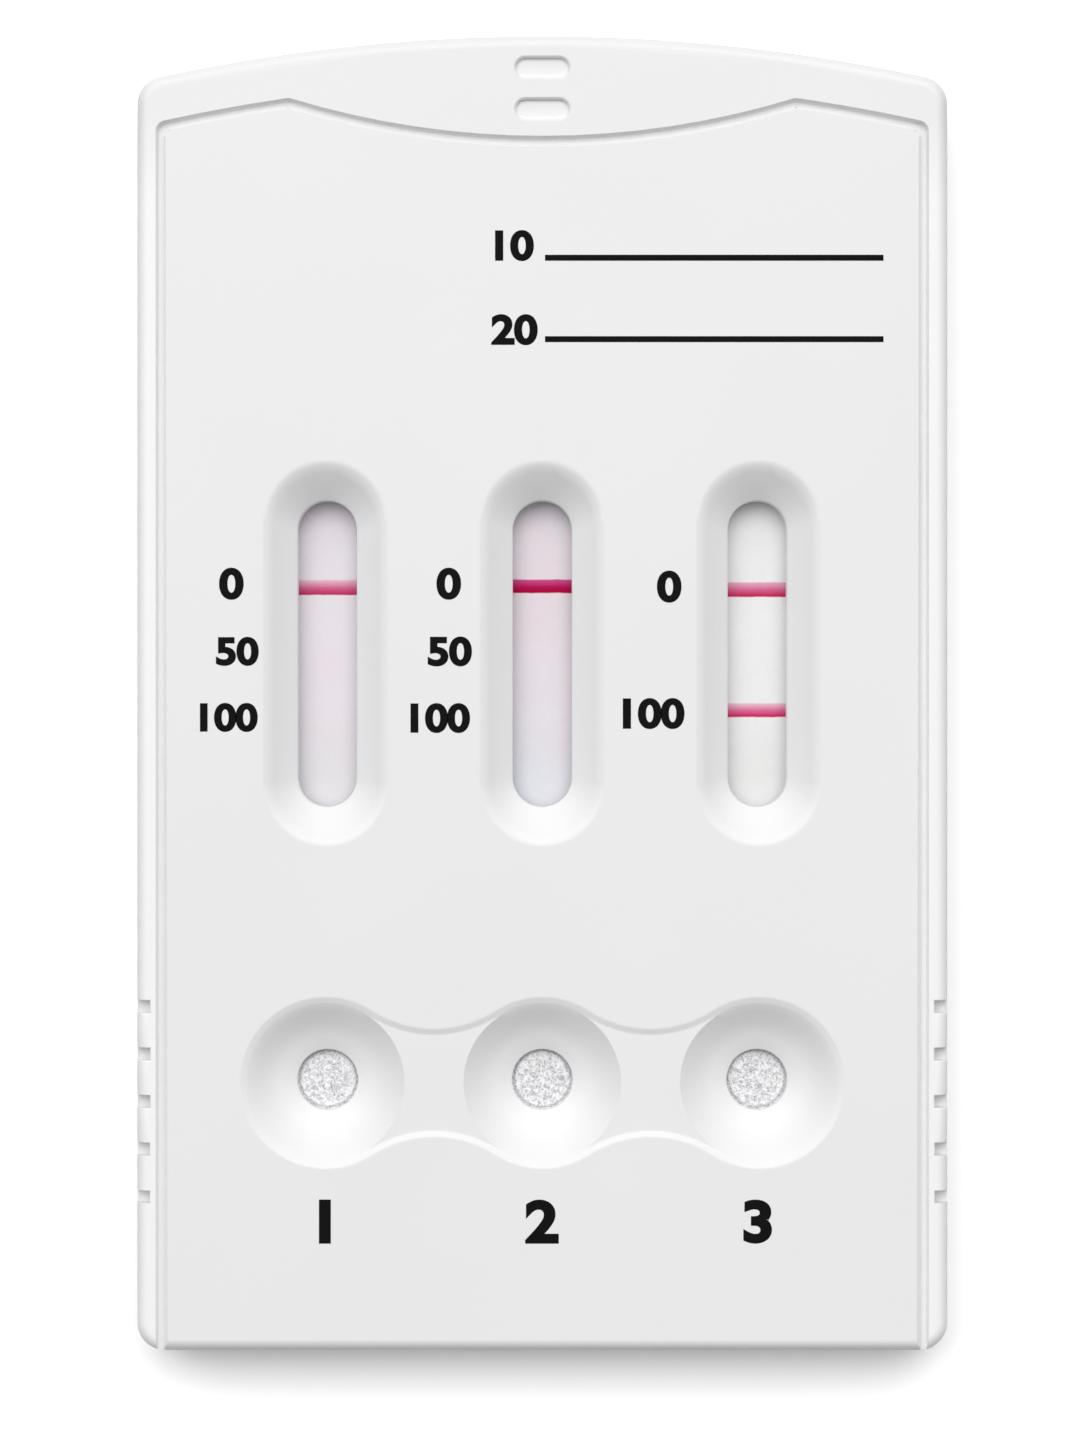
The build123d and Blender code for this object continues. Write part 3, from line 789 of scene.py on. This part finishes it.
def printNumber(name, text, middle, foot, height):
    # type of size 1, scaled to its height once its own corners are known
    selectOnly()
    bpy.ops.object.text_add(location=(0, 0, 0))
    word = bpy.context.object
    word.data.body = text
    word.data.size = 1.0
    word.data.resolution_u = 8
    word.data.offset = printing["weight"]
    word.data.extrude = printing["letterDepth"] / 2
    bpy.ops.object.convert(target="MESH")
    word = bpy.context.object
    corners = [v.co.copy() for v in word.data.vertices]
    low = Vector([min(c[i] for c in corners) for i in range(3)])
    high = Vector([max(c[i] for c in corners) for i in range(3)])
    scale = height / (high.y - low.y) * mm
    word.scale = (scale * printing["wide"], scale,
                  (printing["film"] + printing["bite"]) / printing["letterDepth"] * mm)
    word.location = (middle * mm - (low.x + high.x) / 2 * scale * printing["wide"],
                     foot * mm - low.y * scale, inkMiddle)
    selectOnly(word)
    bpy.ops.object.transform_apply(location=True, rotation=True, scale=True)
    bpy.ops.object.mode_set(mode="EDIT")
    bpy.ops.mesh.select_all(action="SELECT")
    bpy.ops.mesh.remove_doubles(threshold=printing["weld"] * mm)
    bpy.ops.mesh.normals_make_consistent(inside=False)
    bpy.ops.object.mode_set(mode="OBJECT")
    word.name = word.data.name = name
    dress(word, ink)


for index, rule in enumerate(printing["rules"], start=1):
    printRule(f"rule_{index}", *rule)
for index, number in enumerate(printing["numbers"], start=1):
    printNumber(f"number_{index}", *number)
print("print laid on the panel:", len(printing["rules"]) + len(printing["numbers"]), "pieces")


# The table looks white to the camera, and throws less light than that back at the case.
table = {"size": 6000.0, "seen": 1.36, "bounce": 0.20}

selectOnly()
bpy.ops.mesh.primitive_plane_add(size=table["size"] * mm, location=(0, 0, 0))
floor = bpy.context.object
floor.name = "table"
floorMaterial, tree = newMaterial("white_table")
ray = addNode(tree, "ShaderNodeLightPath")
seenOrGlossy = addNode(tree, "ShaderNodeMath", None,
                       {0: ray.outputs["Is Camera Ray"], 1: ray.outputs["Is Glossy Ray"]},
                       operation="MAXIMUM")
seen = addNode(tree, "ShaderNodeMath", None,
               {0: seenOrGlossy.outputs["Value"], 1: ray.outputs["Is Transmission Ray"]}, operation="MAXIMUM")
paint = addNode(tree, "ShaderNodeMix", None, {"Factor": seen.outputs["Value"]}, data_type="RGBA")
paint.inputs["A"].default_value = (table["bounce"],) * 3 + (1,)
paint.inputs["B"].default_value = (table["seen"],) * 3 + (1,)
matt = addNode(tree, "ShaderNodeBsdfDiffuse", None, {"Color": paint.outputs["Result"]})
addNode(tree, "ShaderNodeOutputMaterial", None, {"Surface": matt.outputs["BSDF"]})
floor.data.materials.append(floorMaterial)

studio = {
    "skyNear": 0.03,           # even light from the foot's side
    "skyFar": 1.22,            # and from the head's side
    "skyLow": 0.0,             # share of it at the level of the table, where black flags stand
    "skyClear": 0.45,          # height, as a sine, above which the sky is whole
    "power": 12.8,             # of the soft box, in watts
    "distance": 1500.0,
    "elevation": 63.0,         # degrees above the table, on the head's side
    "turn": 12.0,              # degrees towards the left
    "width": 2000.0,
    "depth": 1000.0,
}
elevation, turn = math.radians(studio["elevation"]), math.radians(studio["turn"])
towards = Vector((-math.sin(turn) * math.cos(elevation), math.cos(turn) * math.cos(elevation),
                  math.sin(elevation)))
bpy.ops.object.light_add(type="AREA", location=towards * studio["distance"] * mm)
softBox = bpy.context.object
softBox.name = "soft_box"
softBox.rotation_euler = towards.to_track_quat("Z", "Y").to_euler()
softBox.data.shape = "RECTANGLE"
softBox.data.size = studio["width"] * mm
softBox.data.size_y = studio["depth"] * mm
softBox.data.energy = studio["power"]

world = bpy.data.worlds.new("studio")
scene.world = world
world.use_nodes = True
air = world.node_tree
air.nodes.clear()
path = addNode(air, "ShaderNodeLightPath")
compass = addNode(air, "ShaderNodeTexCoord")
headward = addNode(air, "ShaderNodeSeparateXYZ", None, {"Vector": compass.outputs["Generated"]})
glow = addNode(air, "ShaderNodeMapRange",
               {"From Min": -1.0, "From Max": 1.0, "To Min": studio["skyNear"], "To Max": studio["skyFar"]},
               {"Value": headward.outputs["Y"]})
flags = addNode(air, "ShaderNodeMapRange",
                {"From Min": 0.0, "From Max": studio["skyClear"], "To Min": studio["skyLow"], "To Max": 1.0},
                {"Value": headward.outputs["Z"]}, interpolation_type="SMOOTHSTEP")
sky = addNode(air, "ShaderNodeMath", None, {0: glow.outputs["Result"], 1: flags.outputs["Result"]},
              operation="MULTIPLY")
dim = addNode(air, "ShaderNodeBackground", {"Color": (1, 1, 1, 1)}, {"Strength": sky.outputs["Value"]})
white = addNode(air, "ShaderNodeBackground", {"Color": (1, 1, 1, 1), "Strength": 1.0})
either = addNode(air, "ShaderNodeMixShader", None,
                 {0: path.outputs["Is Camera Ray"], 1: dim.outputs["Background"],
                  2: white.outputs["Background"]})
addNode(air, "ShaderNodeOutputWorld", None, {"Surface": either.outputs["Shader"]})

scene.view_settings.view_transform = "Standard"
print("table, soft box and sky set")
